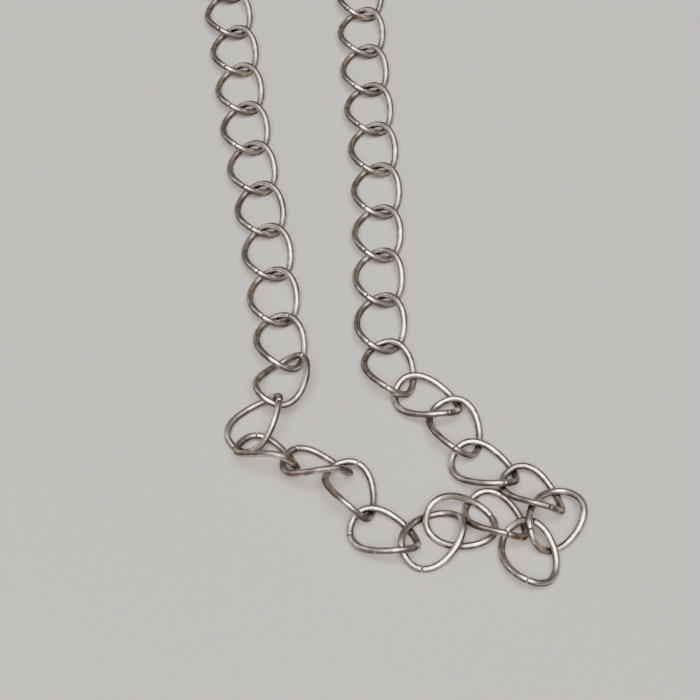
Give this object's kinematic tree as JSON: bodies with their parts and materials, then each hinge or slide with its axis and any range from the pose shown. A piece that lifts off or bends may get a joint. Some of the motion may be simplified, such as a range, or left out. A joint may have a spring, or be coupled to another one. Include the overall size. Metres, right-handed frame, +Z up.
{
  "type": "heap of aluminum chain",
  "caption": "Loose heap of twisted oval aluminum chain: an open run of plain wire links that turns through a small tangle, with both ends leading away.",
  "frame": {"origin": "middle of the heap's plan, on the floor that it lies on", "axes": "+Y from the tangle at the front to the two free ends at the back, +Z up, +X to the right of a viewer who faces +Y"},
  "size_m": [0.1758, 0.43, 0.0152],
  "materials": {
    "aluminium_wire": "drawn wire, satin bright, dulled a little by handling"
  },
  "bodies": {
    "root": {"link_01": "aluminium_wire", "link_02": "aluminium_wire", "link_03": "aluminium_wire", "link_04": "aluminium_wire", "link_05": "aluminium_wire", "link_06": "aluminium_wire", "link_07": "aluminium_wire", "link_08": "aluminium_wire", "link_09": "aluminium_wire", "link_10": "aluminium_wire", "link_11": "aluminium_wire", "link_12": "aluminium_wire", "link_13": "aluminium_wire", "link_14": "aluminium_wire", "link_15": "aluminium_wire", "link_16": "aluminium_wire", "link_17": "aluminium_wire", "link_18": "aluminium_wire", "link_19": "aluminium_wire", "link_20": "aluminium_wire", "link_21": "aluminium_wire", "link_22": "aluminium_wire", "link_23": "aluminium_wire", "link_24": "aluminium_wire", "link_25": "aluminium_wire", "link_26": "aluminium_wire", "link_27": "aluminium_wire", "link_28": "aluminium_wire", "link_29": "aluminium_wire", "link_30": "aluminium_wire", "link_31": "aluminium_wire", "link_32": "aluminium_wire", "link_33": "aluminium_wire", "link_34": "aluminium_wire", "link_35": "aluminium_wire", "link_36": "aluminium_wire", "link_37": "aluminium_wire", "link_38": "aluminium_wire", "link_39": "aluminium_wire", "link_40": "aluminium_wire", "link_41": "aluminium_wire", "link_42": "aluminium_wire", "link_43": "aluminium_wire", "link_44": "aluminium_wire", "link_45": "aluminium_wire", "link_46": "aluminium_wire", "link_47": "aluminium_wire", "link_48": "aluminium_wire", "link_49": "aluminium_wire", "link_50": "aluminium_wire", "link_51": "aluminium_wire", "link_52": "aluminium_wire"}
  },
  "joints": []
}
